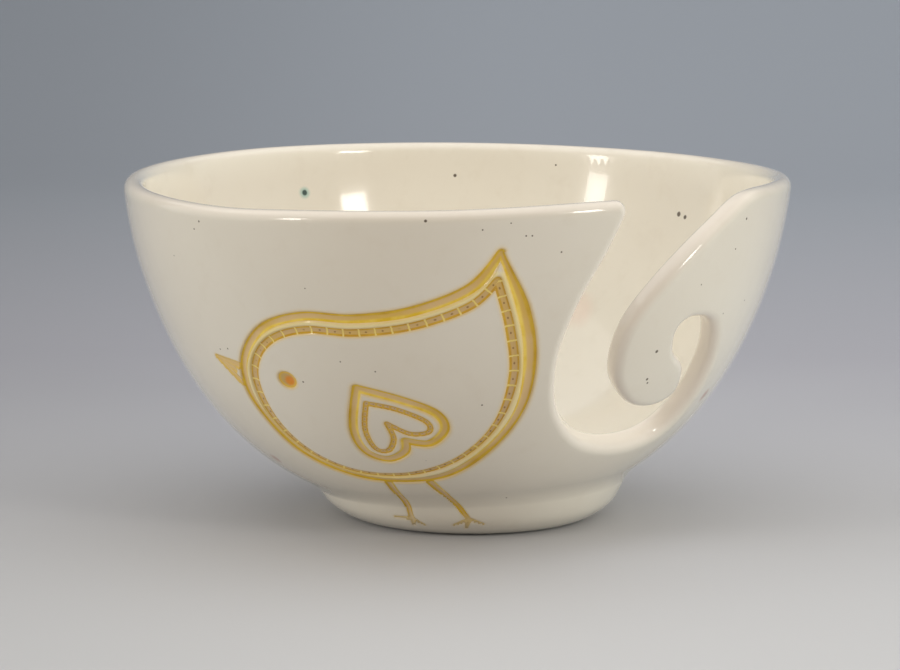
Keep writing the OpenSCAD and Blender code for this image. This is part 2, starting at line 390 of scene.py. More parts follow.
# how far the rounding reaches in from the edge on each face, and how deep into the wall
e_thick = wall_at(e_rho)[4]
out_reach = RIM_ROUND + (SLOT_OUT - RIM_ROUND) * e_slot
in_reach = RIM_ROUND + (SLOT_IN - RIM_ROUND) * e_slot
rim_deep = e_thick * 0.47
out_deep = rim_deep + (SLOT_OUT * 0.95 - rim_deep) * e_slot
in_deep = rim_deep + (SLOT_IN - rim_deep) * e_slot


def chart(theta, rho):
    """The wall unrolled about its centre into a flat disc."""
    return np.stack([rho * np.sin(theta), -rho * np.cos(theta)], axis=-1)


def from_chart(c):
    return np.arctan2(c[:, 0], -c[:, 1]), np.hypot(c[:, 0], c[:, 1])


def moved_in(reach):
    """The edge moved into the clay, with any fold at a corner smoothed away."""
    c = chart(e_theta + e_in[:, 0] * reach / wall_at(e_rho)[0], e_rho + e_in[:, 1] * reach)
    o = chart(e_theta, e_rho)
    want = np.roll(o, -1, axis=0) - o
    for _ in range(400):
        step = np.roll(c, -1, axis=0) - c
        bad = (step * want).sum(axis=1) < 0.08 * (want ** 2).sum(axis=1)
        if not bad.any():
            break
        bad = bad | np.roll(bad, 1) | np.roll(bad, -1) | np.roll(bad, 2) | np.roll(bad, -2)
        mean = (np.roll(c, 1, axis=0) + np.roll(c, -1, axis=0)) / 2
        c = np.where(bad[:, None], (c + mean) / 2, c)
    return c


outer_edge = moved_in(out_reach)
inner_edge = moved_in(in_reach)


# The slot lies within this angle of its middle, and beyond this length along the wall
SLOT_SPAN, SLOT_START = math.radians(62), 36


def inside_edge(at, room, edge_chart):
    """Which points lie in the sheet, at least room away from its edge."""
    theta, rho = at.T
    keep = rho < RHO_END - room
    from_slot = np.abs((theta - SLOT_TURN + math.pi) % (2 * math.pi) - math.pi)
    idx = np.where((from_slot < SLOT_SPAN) & (rho > SLOT_START) & keep)[0]
    p = chart(theta, rho)[idx]
    # winding test against the whole edge
    x0, y0 = edge_chart[:, 0], edge_chart[:, 1]
    x1, y1 = np.roll(x0, -1), np.roll(y0, -1)
    ok = np.zeros(len(p), bool)
    for i in range(0, len(p), 2000):
        q = p[i:i + 2000]
        up = (y0[None] <= q[:, 1:2]) != (y1[None] <= q[:, 1:2])
        with np.errstate(divide="ignore", invalid="ignore"):
            xc = x0 + (q[:, 1:2] - y0) * (x1 - x0) / (y1 - y0)
        hits = (up & (q[:, :1] < xc)).sum(axis=1)
        ok[i:i + 2000] = hits % 2 == 1
    tree = KDTree(len(edge_chart))
    for k, c in enumerate(edge_chart):
        tree.insert((c[0], c[1], 0.0), k)
    tree.balance()
    for k in np.where(ok)[0]:
        if tree.find((p[k, 0], p[k, 1], 0.0))[2] < room:
            ok[k] = False
    keep[idx] = ok
    return keep


def polar_rows(rho0, rho1, h, th0=-math.pi, th1=math.pi):
    """Points on rows round the bowl, spaced h apart on the wall and staggered."""
    out = []
    n_rows = max(int((rho1 - rho0) / (h * 0.87)), 1)
    for i in range(n_rows + 1):
        rho = rho0 + (rho1 - rho0) * i / n_rows
        r = float(wall_at(rho)[0])
        n = max(int(round((th1 - th0) * r / h)), 6)
        th = th0 + (th1 - th0) * (np.arange(n) + (0.5 if i % 2 else 0.0)) / n
        out.append(np.stack([th, np.full(len(th), rho)], axis=1))
    return np.vstack(out)


def triangulate(at, edge_chart):
    """Triangles over the sheet, from its edge and the given points inside it."""
    n = len(edge_chart)
    pts = np.vstack([edge_chart, chart(*at.T)])
    loop = list(range(n))
    ahead = np.roll(edge_chart, -1, axis=0)
    if np.sum(edge_chart[:, 0] * ahead[:, 1] - edge_chart[:, 1] * ahead[:, 0]) < 0:
        loop.reverse()
    verts, _, faces, orig, _, _ = delaunay_2d_cdt([Vector(p) for p in pts.tolist()], [], [loop], 1, 1e-7)
    new = np.array([v[:] for v in verts])
    th, rh = from_chart(new)
    at_edge = np.full(n, -1)
    for k, o in enumerate(orig):
        for i in o:
            if i < n:
                at_edge[i] = k
    return th, rh, np.array(faces), at_edge


# -------------------- grooves and glaze, as depth below the face

GROOVE = {  # half width, depth
    "outline": (1.2, 0.95),
    "stitch": (1.0, 0.6),
    "heart": (1.05, 0.8),
    "heart_stitch": (0.6, 0.45),
    "beak_top": (1.0, 0.55),
    "beak_low": (0.74, 0.55),
    "beak_tip": (0.8, 0.55),
    "leg_left": (0.85, 0.6),
    "leg_right": (0.85, 0.6),
}


def taper(name, f):
    """Width of a line at a share f of its length, as a share of its full width."""
    if name == "outline":
        back = 0.16 * smoothstep((0.4 - f) / 0.15) + 0.1 * smoothstep((0.2 - f) / 0.1)
        tail = 0.42 * smoothstep((f - 0.77) / 0.11) - 0.72 * smoothstep((f - 0.925) / 0.075)
        return 0.82 + back - 0.3 * smoothstep(1 - f / 0.04) + tail
    if name == "stitch":
        belly = 0.42 * smoothstep((f - 0.42) / 0.12) - 0.54 * smoothstep((f - 0.76) / 0.12)
        return 1.0 - belly - 0.1 * smoothstep((f - 0.92) / 0.08)
    if name == "beak_top":
        return 1.2 - 0.75 * f
    if name == "beak_low":
        return 0.65 + 0.55 * f
    if name == "beak_tip":
        return 0.3 + 0.9 * f
    if name in ("leg_left", "leg_right"):
        return 1.15 - 0.45 * smoothstep(f * 1.1)
    return np.ones_like(f)


def half_width(name, s):
    """Half width of a carved line at a length s along it."""
    return GROOVE[name][0] * taper(name, s / lines[name].s[-1])


def square_to(name, i):
    """Direction square to a carved line, at its points i that are nearest to the outer face's points."""
    line = lines[name].p
    ahead = unit(line[np.clip(i + 2, 0, len(line) - 1)] - line[np.clip(i - 2, 0, len(line) - 1)])
    return np.cross(ahead, o_n)


EYE_R = 2.45
# How far the soft shoulders of a groove reach past it
SHOULDER = 0.42


def beyond_outline():
    """How far points lie outside the bird's outline; negative inside the bird."""
    d, _, i = o_near["outline"]
    return d * np.sign(np.einsum("ij,ij->i", o_p - lines["outline"].p[i], square_to("outline", i)))


def carve():
    """Depth of all the carving at each point, and how far the point is from the middle of the eye."""
    depth = np.zeros(len(o_p))
    for name, (d, s, _) in o_near.items():
        cut = GROOVE[name][1] * smoothstep((half_width(name, s) + SHOULDER - d) / 0.95)
        if name.startswith(("beak", "leg")):
            cut = cut * smoothstep(o_beyond + 0.8)
        depth = np.maximum(depth, cut)
    q = o_p - eye_p
    d_eye = np.hypot(q @ eye_e / 1.06, q @ eye_up / 0.97)
    depth = np.maximum(depth, 0.8 * smoothstep((EYE_R + 0.3 - d_eye) / 1.1))
    return depth, d_eye


# -------------------- the hand-made unevenness

def by_hand(p):
    """Brings the rim to its own uneven height, and lets the wall wander a little inwards."""
    th = np.arctan2(p[:, 0], -p[:, 1])
    out = p.copy()
    out[:, :2] *= (1 - 0.002 * smoothstep(p[:, 2] / RIM_TOP) * (0.5 + 0.5 * np.sin(2 * th + 0.9)))[:, None]
    out[:, 2] -= lowered(th, p[:, 2])
    return out


def make_mesh(name, verts, faces, attributes=None):
    """An object from points in millimetres, with named values on its points for the materials."""
    mesh = bpy.data.meshes.new(name)
    mesh.from_pydata((np.asarray(verts) / MM).tolist(), [], [list(map(int, f)) for f in faces])
    mesh.validate()
    mesh.shade_smooth()
    for key, values in (attributes or {}).items():
        layer = mesh.attributes.new(key, "FLOAT", "POINT")
        layer.data.foreach_set("value", np.asarray(values, np.float32))
    mesh.update()
    obj = bpy.data.objects.new(name, mesh)
    bpy.context.scene.collection.objects.link(obj)
    return obj


# -------------------- the bowl

def art_distance(pts):
    """Distance to the nearest carved line or to the eye."""
    d = np.maximum(np.linalg.norm(pts - eye_p, axis=1) - 2.0, 0)
    for line in lines.values():
        d = np.minimum(d, line.ask(pts)[0])
    return d


def outer_points():
    """Points on the outer face: dense at the carved lines, and wider apart away from them."""
    lo, hi = float(rho_of_z(7.6)), float(rho_of_z(82))
    left, right = math.radians(-61), math.radians(21)
    more, most = math.radians(1), math.radians(5)
    plain = np.vstack([polar_rows(2.5, 34, 2.6), polar_rows(36, RHO_END - 0.9, 1.5), [[0.0, 0.0]]])
    # rows of points, and how near to the carving and how far from it they are kept
    tiers = [(polar_rows(lo, hi, 0.31, left, right), 0.0, 2.0),
             (polar_rows(lo, hi, 0.5, left - more, right + more), 2.15, 3.2),
             (polar_rows(lo - 3, hi + 3, 0.9, left - most, right + most), 3.5, 6.0),
             (plain, 6.6, 1e9)]
    kept = []
    for pts, near, far in tiers:
        d = art_distance(frames(pts[:, 0], pts[:, 1])[0])
        kept.append(pts[(d >= near) & (d < far)])
    pts = np.vstack(kept)
    return pts[inside_edge(pts, 0.5, outer_edge)]


o_theta, o_rho, o_faces, o_edge = triangulate(outer_points(), outer_edge)
o_p, o_n = frames(o_theta, o_rho)[:2]
o_near = {name: line.ask(o_p) for name, line in lines.items()}
o_beyond = beyond_outline()
o_depth, o_eye = carve()
# the clay between the outline and the stitches stands a little proud
o_ridge = np.ones(len(o_p))
for key in ("outline", "stitch"):
    d, at, _ = o_near[key]
    o_ridge = o_ridge * smoothstep(1.9 - (d - half_width(key, at)))
o_ridge = o_ridge * (o_beyond < 0)
o_depth = o_depth - 0.16 * o_ridge * smoothstep(1 - o_depth / 0.25)

in_pts = np.vstack([polar_rows(2.5, RHO_END - 1.0, 2.2), [[0.0, 0.0]]])
in_pts = in_pts[inside_edge(in_pts, 0.8, inner_edge)]
i_theta, i_rho, i_faces, i_edge = triangulate(in_pts, inner_edge)
i_p, i_n, _, _, i_thick = frames(i_theta, i_rho)
i_p = i_p - i_n * i_thick[:, None]


def edge_strip():
    """Rows of the edge's section: a soft shoulder outside, the cut face, and a tighter turn inside."""
    th, rh = from_chart(outer_edge)
    p, n, e, up, thick = frames(th, rh)
    out = -(e_in[:, :1] * e + e_in[:, 1:] * up)
    steps = []
    for k in range(1, 7):
        f = math.pi / 2 * k / 6
        steps.append((out_reach * (1 - math.sin(f)), out_deep * (1 - math.cos(f)), 0.5 * k / 7))
    steps.append((np.zeros(len(p)), (out_deep + thick - in_deep) / 2, 0.5))
    for k in range(5):
        f = math.pi / 2 * k / 5
        deep = thick - in_deep * (1 - math.sin(f))
        steps.append((in_reach * (1 - math.cos(f)), deep, 0.5 + 0.5 * (k + 1) / 6))
    rows = [p + out * (out_reach - x)[:, None] - n * deep[:, None] for x, deep, _ in steps]
    # the last row leads into the inner face, so the rows take up what its own curve adds
    th_i, rh_i = from_chart(inner_edge)
    q, m, _, _, t_in = frames(th_i, rh_i)
    miss = (q - m * t_in[:, None]) - (p + out * (out_reach - in_reach)[:, None] - n * thick[:, None])
    return [r + miss * f ** 2 for r, (_, _, f) in zip(rows, steps)], [f for _, _, f in steps]


def neighbours(n):
    """Pairs of neighbours in a closed ring of n points."""
    return [(j, (j + 1) % n) for j in range(n)]


def triangles_facing(p, faces, towards):
    """The triangles turned so that their first one's normal agrees with the given directions."""
    a, b, c = p[faces[:, 0]], p[faces[:, 1]], p[faces[:, 2]]
    n = np.cross(b - a, c - a)
    flip = np.einsum("ij,ij->i", n, towards[faces[:, 0]]) < 0
    faces = faces.copy()
    faces[flip] = faces[flip][:, ::-1]
    return faces


def build_bowl():
    """The outer and the inner face, joined all round by the edge's section."""
    rows, shares = edge_strip()
    n_o, n_i, n_e = len(o_p), len(i_p), len(e_theta)
    pts = np.vstack([o_p - o_n * o_depth[:, None], i_p] + rows)
    faces = triangles_facing(o_p, o_faces, o_n).tolist()
    faces += (triangles_facing(i_p, i_faces, -i_n) + n_o).tolist()
    ring = [np.asarray(o_edge)] + [n_o + n_i + j * n_e + np.arange(n_e) for j in range(len(rows))]
    ring.append(n_o + np.asarray(i_edge))
    strip = [[a[j], a[k], b[k], b[j]] for a, b in zip(ring[:-1], ring[1:]) for j, k in neighbours(n_e)]
    # the strip faces away from the clay
    middle = n_e * 6
    q = strip[middle]
    normal = np.cross(pts[q[1]] - pts[q[0]], pts[q[3]] - pts[q[0]])
    _, _, e, up, _ = frames(*from_chart(outer_edge[:1]))
    if normal @ -(e_in[0, 0] * e[0] + e_in[0, 1] * up[0]) < 0:
        strip = [f[::-1] for f in strip]
    inner = np.concatenate([np.zeros(n_o), np.ones(n_i)] + [np.full(n_e, f) for f in shares])
    rest = np.zeros(n_i + n_e * len(rows))
    looks = {"inner": inner, "halo": np.append(halo, rest), "ridge": np.append(o_ridge, rest)}
    return make_mesh("bowl", by_hand(pts), faces + strip, looks)


def halo_of():
    """Yellow that the glaze leaves on the shoulders of a groove."""
    out = np.zeros(len(o_p))
    for name, (d, s, _) in o_near.items():
        reach = 0.62 if name in ("outline", "heart") else 0.5
        strength = 0.95 if name in ("outline", "heart", "stitch") else 0.75
        glow = strength * np.exp(-np.maximum((d - half_width(name, s)) / reach, 0) ** 2)
        if name.startswith(("beak", "leg")):
            glow = glow * smoothstep(o_beyond + 0.8)
        out = np.maximum(out, glow)
    out = np.maximum(out, 0.8 * np.exp(-np.maximum((o_eye - EYE_R) / 0.45, 0) ** 2))
    return out


halo = halo_of()
bowl = build_bowl()


def patch(name, p, n, faces, mask_d, limit, top, bottom, attributes):
    """A closed pool of glaze over the triangles that lie within limit of a line."""
    ok = (mask_d[faces] < limit).all(axis=1)
    faces = triangles_facing(p, faces[ok], n)
    used = np.unique(faces)
    index = np.full(len(p), -1)
    index[used] = np.arange(len(used))
    f = index[faces]
    m = len(used)
    upper = p[used] - n[used] * top[used][:, None]
    lower = p[used] - n[used] * bottom[used][:, None]
    edges = {}
    for tri in f.tolist():
        for j, k in neighbours(3):
            edges[(tri[j], tri[k])] = True
    side = [[b, a, a + m, b + m] for (a, b) in edges if (b, a) not in edges]
    faces_all = f.tolist() + [[c + m for c in reversed(t)] for t in f.tolist()] + side
    looks = {key: np.tile(v[used], 2) for key, v in attributes.items()}
    return make_mesh(name, by_hand(np.vstack([upper, lower])), faces_all, looks)


def side_of(name):
    """Where a point lies across a closed line: +1 at its outer side, -1 at its inner side."""
    i = o_near[name][2]
    return np.einsum("ij,ij->i", o_p - lines[name].p[i], square_to(name, i)) / GROOVE[name][0]


def short_of_outline(distance, room):
    """The given distances, made large where the outline's own pool or the inside of the bird is."""
    d, at, _ = o_near["outline"]
    return np.where((d - half_width("outline", at) < room) | (o_beyond < 0), FAR, distance)


def pool(name, key, level, rise):
    """The glaze in one carved line: a hollow surface that climbs a little at its sides."""
    d, s, _ = o_near[key]
    w = half_width(key, s)
    top = level - rise * np.clip(d / w, 0, 1.3) ** 2
    across = np.clip(d / w, 0, 1.5)
    if key.startswith("leg"):
        d = short_of_outline(d, 0.2)
    return patch(name, o_p, o_n, o_faces, d - w, 0.45, top, np.full(len(o_p), GROOVE[key][1] + 0.35),
                 {"across": across, "along": s, "side": side_of(key)})


FAR = 99.0
# level of the glaze below the wall's face, and how much it climbs at its sides
pieces = {
    "bird_outline": pool("outline_glaze", "outline", 0.62, 0.28),
    "bird_stitches": pool("stitch_glaze", "stitch", 0.36, 0.14),
    "heart_outline": pool("heart_glaze", "heart", 0.5, 0.22),
    "heart_stitches": pool("heart_stitch_glaze", "heart_stitch", 0.28, 0.12),
    "left_leg": pool("left_leg_glaze", "leg_left", 0.36, 0.18),
    "right_leg": pool("right_leg_glaze", "leg_right", 0.36, 0.18),
}


def beak_pool():
    """One pool over the beak's three strokes, which stops short of the outline's own pool."""
    d = np.full(len(o_p), FAR)
    s_all = np.zeros(len(o_p))
    for key in ("beak_top", "beak_low", "beak_tip"):
        near, s, _ = o_near[key]
        outside = near - half_width(key, s)
        s_all = np.where(outside < d, s, s_all)
        d = np.minimum(outside, d)
    d = short_of_outline(d, 0.3)
    across = np.clip(1 + d / 0.6, 0, 1.5)
    top = 0.34 - 0.16 * across ** 2
    return patch("beak_glaze", o_p, o_n, o_faces, d, 0.42, top, np.full(len(o_p), 0.9),
                 {"across": across, "along": s_all, "side": np.ones(len(o_p))})


def eye_pool():
    """A domed drop of glaze, with its own across and up directions for its colours."""
    share = o_eye / EYE_R
    return patch("eye_glaze", o_p, o_n, o_faces, o_eye, EYE_R + 0.35,
                 0.5 - 0.3 * np.clip(share, 0, 1.2) ** 2, np.full(len(o_p), 1.1),
                 {"across": np.clip(share, 0, 1.5),
                  "along": (o_p - eye_p) @ eye_e, "side": (o_p - eye_p) @ eye_up})


pieces["bird_beak"] = beak_pool()
pieces["bird_eye"] = eye_pool()

# -------------------- the foot

FOOT_OUT = np.array([[FOOT_R - 0.9, 0.0], [FOOT_R, 0.12], [FOOT_R + 2.2, 0.62], [FOOT_R + 5.2, 2.3],
                     [FOOT_R + 7.9, 4.9], [FOOT_R + 10.2, 9.5], [FOOT_R + 11.0, 13.0], [FOOT_R + 11.6, 19.0]])
FOOT_LINE = catmull(FOOT_OUT, 12)
# Over how much difference in radius the foot blends into the wall
BLEND = 3.6


def foot_radius(z, phi):
    """Radius of the foot about its own centre, blended into the wall, and how far it is past the wall."""
    own = np.interp(z, FOOT_LINE[:, 1], FOOT_LINE[:, 0])
    along = FOOT_X * np.sin(phi) - FOOT_Y * np.cos(phi)
    wall = np.maximum(np.interp(z, rz_tab[:, 1], rz_tab[:, 0]) - 12 * np.maximum(BASE_Z - z, 0), 8.0)
    wall = np.sqrt(np.maximum(along ** 2 - FOOT_X ** 2 - FOOT_Y ** 2 + wall ** 2, 1.0)) - along
    h = np.clip(0.5 + 0.5 * (wall - own) / BLEND, 0, 1)
    return own * (1 - h) + wall * h + BLEND * h * (1 - h), wall - own


def on_foot(uz):
    """From the bird's flat drawing (across, up) to points on the foot's outer face."""
    u, z = uz[:, 0] * WIDE, uz[:, 1] * TALL
    c, s = math.cos(BIRD_TURN), math.sin(BIRD_TURN)

    def is_outside(n):
        dx, dy = u * c + n * s - FOOT_X, u * s - n * c - FOOT_Y
        return np.hypot(dx, dy) > foot_radius(z, np.arctan2(dx, -dy))[0]
    n = leaves_at(np.full(len(u), 20.0), np.full(len(u), 62.0), is_outside)
    return np.stack([u * c + n * s, u * s - n * c, z], axis=1)


# ends of each foot's strokes: from, to, and half width at each end; first the leg, then its toes
TOES = {
    "left": [((-0.6, 13.6), (0, 10.4), 0.7, 0.66), ((0, 10.4), (0.5, 6.6), 0.66, 0.55),
             ((0.5, 6.6), (0.8, 4.6), 0.55, 0.5), ((0.8, 4.9), (-3.8, 4.9), 0.42, 0.2),
             ((0.8, 4.9), (0.6, 3.0), 0.46, 0.26), ((0.8, 4.9), (3.4, 3.2), 0.42, 0.2)],
    "right": [((10.9, 13.6), (12.1, 10.4), 0.7, 0.64), ((12.1, 10.4), (13.8, 7.0), 0.64, 0.5),
              ((13.8, 7.0), (14.8, 5.2), 0.5, 0.42), ((14.8, 5.4), (10.8, 3.6), 0.4, 0.18),
              ((14.8, 5.4), (13.4, 2.8), 0.42, 0.22), ((14.8, 5.4), (17.6, 4.0), 0.4, 0.18)],
}


def toe_distance(pts, strokes):
    """How far points lie outside the nearest of some tapered strokes."""
    out = np.full(len(pts), 99.0)
    for a, b, w0, w1 in strokes:
        line = Line(on_foot(resample(np.array([a, b], float), 0.08)))
        d, at, _ = line.ask(pts)
        out = np.minimum(out, d - (w0 + (w1 - w0) * at / line.s[-1]))
    return out


# How far inside the wall the foot's lid lies
LID_RISE = 2.0


def build_foot():
    """The foot's outer face on rings round its centre, its underside, and a lid buried in the wall."""
    rows = np.concatenate([[0, 0.04, 0.12, 0.22, 0.35, 0.5, 0.7, 0.95], np.arange(1.25, 6.0, 0.35),
                           np.arange(6.0, 9.6, 0.09), np.arange(9.6, 17.0, 0.25)])
    phi = np.radians(np.concatenate([np.arange(-40, 14, 0.42), np.linspace(14.8, 319.2, 150)]))
    Z, PHI = np.meshgrid(rows, phi, indexing="ij")
    R, past = foot_radius(Z, PHI)
    # past the blend it sinks into the wall
    R = R - np.clip((past - BLEND) * 0.25, 0, 1.2)
    x, y, z = FOOT_X + R * np.sin(PHI), FOOT_Y - R * np.cos(PHI), Z
    n_r, n_p = R.shape
    grid = np.arange(n_r * n_p).reshape(n_r, n_p)
    quads = [[grid[i, j], grid[i + 1, j], grid[i + 1, k], grid[i, k]]
             for i in range(n_r - 1) for j, k in neighbours(n_p)]
    g = np.stack([x, y, z], axis=-1)
    base = g.reshape(-1, 3)
    n = unit(np.cross(np.gradient(g, axis=0), np.roll(g, -1, axis=1) - np.roll(g, 1, axis=1))).reshape(-1, 3)
    n *= np.where(n[:, 2] > 0, -1, 1)[:, None]
    halves = np.array([[f[0], f[1], f[2]] for f in quads] + [[f[0], f[2], f[3]] for f in quads])
    depth, tint = np.zeros(len(base)), np.zeros(len(base))
    for side, strokes in TOES.items():
        rel = toe_distance(base, strokes)
        depth = np.maximum(depth, 0.4 * smoothstep((0.3 - rel) / 0.7))
        tint = np.maximum(tint, 0.5 * np.exp(-np.maximum(rel / 0.4, 0) ** 2))
        across = np.clip(1 + rel / 0.5, 0, 1.5)
        looks = {"across": across, "along": base[:, 2], "side": np.ones(len(base))}
        pieces[side + "_toes"] = patch(side + "_toes_glaze", base, n, halves, rel, 0.3,
                                       0.24 - 0.12 * across ** 2, np.full(len(base), 0.7), looks)
    # contact ring, the hollow's side, and the lid
    rings = [(FOOT_R - 1.6, 0.0), (HOLLOW_R + 1.5, 0.0), (HOLLOW_R + 0.5, 0.25), (HOLLOW_R, 0.95),
             (HOLLOW_R - 0.1, 3.0), (HOLLOW_R - 0.3, 5.0), (HOLLOW_R - 1.0, 5.95), (HOLLOW_R - 1.9, 7.5)]
    under = [np.stack([FOOT_X + r * np.sin(phi), FOOT_Y - r * np.cos(phi), np.full(n_p, height)], axis=1)
             for r, height in rings]
    for r in (HOLLOW_R + 4, (HOLLOW_R + 46) / 2, 42.0, 45.0):
        xx, yy = FOOT_X + r * np.sin(phi), FOOT_Y - r * np.cos(phi)
        under.append(np.stack([xx, yy, np.interp(np.hypot(xx, yy), *rz_tab.T) + LID_RISE], axis=1))
    pts = np.vstack([base - n * depth[:, None]] + under)
    chain = [grid[0]] + [len(base) + np.arange(n_p) + k * n_p for k in range(len(under))] + [grid[-1]]
    quads += [[a[j], a[k], b[k], b[j]] for a, b in zip(chain[:-1], chain[1:]) for j, k in neighbours(n_p)]
    spare = np.zeros(len(pts) - len(base))
    none = np.zeros(len(pts))
    looks = {"inner": none, "halo": np.append(tint, spare), "ridge": none}
    return make_mesh("foot", by_hand(pts), quads, looks)


foot = build_foot()


# -------------------- materials

def srgb(r, g, b):
    """A colour given in 0-255 screen values, as linear numbers."""
    def lin(c):
        c /= 255.0
        return c / 12.92 if c <= 0.04045 else ((c + 0.055) / 1.055) ** 2.4
    return (lin(r), lin(g), lin(b), 1.0)


class Graph:
    """Short calls that add and join shader nodes."""

    def __init__(self, name):
        self.mat = bpy.data.materials.new(name)
        self.mat.use_nodes = True
        self.tree = self.mat.node_tree
        self.tree.nodes.clear()
        self.out = self.add("ShaderNodeOutputMaterial")

    def add(self, kind, **values):
        node = self.tree.nodes.new(kind)
        for key, value in values.items():
            setattr(node, key, value)
        return node

    def join(self, a, b):
        self.tree.links.new(a, b)

    def put(self, socket, value):
        """Joins or sets a socket; a tuple is a colour in screen values."""
        if hasattr(value, "is_output"):
            self.join(value, socket)
        elif isinstance(value, tuple):
            socket.default_value = srgb(*value)
        else:
            socket.default_value = value

    def math(self, op, *values):
        n = self.add("ShaderNodeMath", operation=op)
        for socket, value in zip(n.inputs, values):
            self.put(socket, value)
        return n.outputs[0]

    def plus(self, a, b):
        return self.math("ADD", a, b)

    def minus(self, a, b):
        return self.math("SUBTRACT", a, b)

    def times(self, a, b):
        return self.math("MULTIPLY", a, b)

    def length(self, a, b):
        """Length of the diagonal with sides a and b."""
        return self.math("SQRT", self.plus(self.times(a, a), self.times(b, b)))

    def mix(self, f, a, b, mode="MIX"):
        n = self.add("ShaderNodeMix", data_type="RGBA", blend_type=mode)
        self.put(n.inputs[0], f)
        self.put(n.inputs[6], a)
        self.put(n.inputs[7], b)
        return n.outputs[2]

    def span(self, value, a, b, c=0.0, d=1.0, smooth=True):
        n = self.add("ShaderNodeMapRange", interpolation_type="SMOOTHSTEP" if smooth else "LINEAR")
        for socket, v in zip(n.inputs, (value, a, b, c, d)):
            self.put(socket, v)
        return n.outputs[0]

    def noise(self, scale, detail, rough, where):
        n = self.add("ShaderNodeTexNoise")
        for key, value in (("Vector", where), ("Scale", scale), ("Detail", detail), ("Roughness", rough)):
            self.put(n.inputs[key], value)
        return n.outputs[0]

    def attribute(self, name):
        return self.add("ShaderNodeAttribute", attribute_name=name).outputs["Fac"]

    def object_coords(self):
        return self.add("ShaderNodeTexCoord").outputs["Object"]

    def surface(self, color, roughness, bump, strength, distance, **fixed):
        n = self.add("ShaderNodeBsdfPrincipled")
        self.put(n.inputs["Base Color"], color)
        self.put(n.inputs["Roughness"], roughness)
        for key, value in fixed.items():
            n.inputs[key.replace("_", " ")].default_value = value
        b = self.add("ShaderNodeBump")
        for key, value in (("Strength", strength), ("Distance", distance), ("Height", bump)):
            self.put(b.inputs[key], value)
        self.join(b.outputs[0], n.inputs["Normal"])
        self.join(n.outputs[0], self.out.inputs["Surface"])


# Specks fired into the glaze, by tone and face: angle from the front in degrees, height and radius
SPECKS = {
    ("green", "inside"): [(-147.5, 72, 0.85)],
    ("brown", "inside"): [(-179.5, 75.5, 0.5), (129.5, 68.5, 0.8), (127.5, 68, 0.7), (160, 79, 0.3)],
    ("pink", "inside"): [(150, 40.5, 2.6)],
    ("brown", "outside"): [(-5, 83, 0.42), (4, 81, 0.26), (8.5, 82.5, 0.2), (11, 79.5, 0.22),
        (12, 79.5, 0.22), (17, 75.5, 0.24), (56.5, 79.5, 0.4), (54.5, 50.5, 0.3), (39.5, 42.5, 0.4),
        (40, 41.5, 0.34), (39.5, 49.5, 0.45), (-30.5, 42.5, 0.28), (-15, 46.5, 0.26), (5, 38.5, 0.26),
        (-50, 48, 0.24), (-47.5, 48.5, 0.24), (-35.5, 19.5, 0.3), (-21.5, 48.5, 0.2), (16.5, 11.5, 0.3),
        (-47, 79.5, 0.3), (-48.5, 77.5, 0.22), (46.5, 65, 0.22), (54.5, 72.5, 0.22), (63.5, 58.5, 0.24),
        (56, 56.5, 0.22), (-26, 66, 0.18), (-56, 70, 0.2)],
    ("green", "outside"): [(-88, 78.5, 1)],
    ("red", "outside"): [(67, 34, 1.1), (-58, 18, 1)],
}
# The clear glaze drifts between two tones on each face. The outer face's tones are darker and the inner
# face's paler than the glaze alone: painted shade on the outside and painted light inside the bowl
SHADED_OUTSIDE_A, SHADED_OUTSIDE_B = (222, 213, 197), (227, 219, 204)
LIT_INSIDE_A, LIT_INSIDE_B = (245, 238, 223), (248, 242, 228)
# Tone of each kind of speck, its strength, and how far it spreads as a share of its radius
TONES = {"green": ((34, 58, 54), 0.92, 1.1), "brown": ((84, 70, 54), 0.92, 1.1),
         "pink": ((246, 214, 196), 0.4, 2.5), "red": ((170, 108, 88), 0.6, 2.5)}


def speck(g, col, pos, fine, kind, angle, height, radius):
    """One speck laid over a colour; the green ones have a paler ring."""
    theta = np.array([math.radians(angle)])
    p, n, _, _, thick = frames(theta, rho_of_z(before_lowering(theta, np.array([height * TALL]))))
    tone, face = kind
    if face == "inside":
        p = p - n * thick[:, None]
    away = g.add("ShaderNodeVectorMath", operation="DISTANCE")
    g.join(pos, away.inputs[0])
    away.inputs[1].default_value = tuple(by_hand(p)[0] / MM)
    r = radius / MM
    ragged = g.plus(away.outputs["Value"], g.times(g.minus(fine, 0.5), r * 1.2))
    if tone == "green":
        col = g.mix(g.times(g.span(ragged, r * 2.4, r * 0.9), 0.55), col, (120, 190, 180))
    color, strength, spread = TONES[tone]
    return g.mix(g.times(g.span(ragged, r * spread, r * 0.6), strength), col, color)


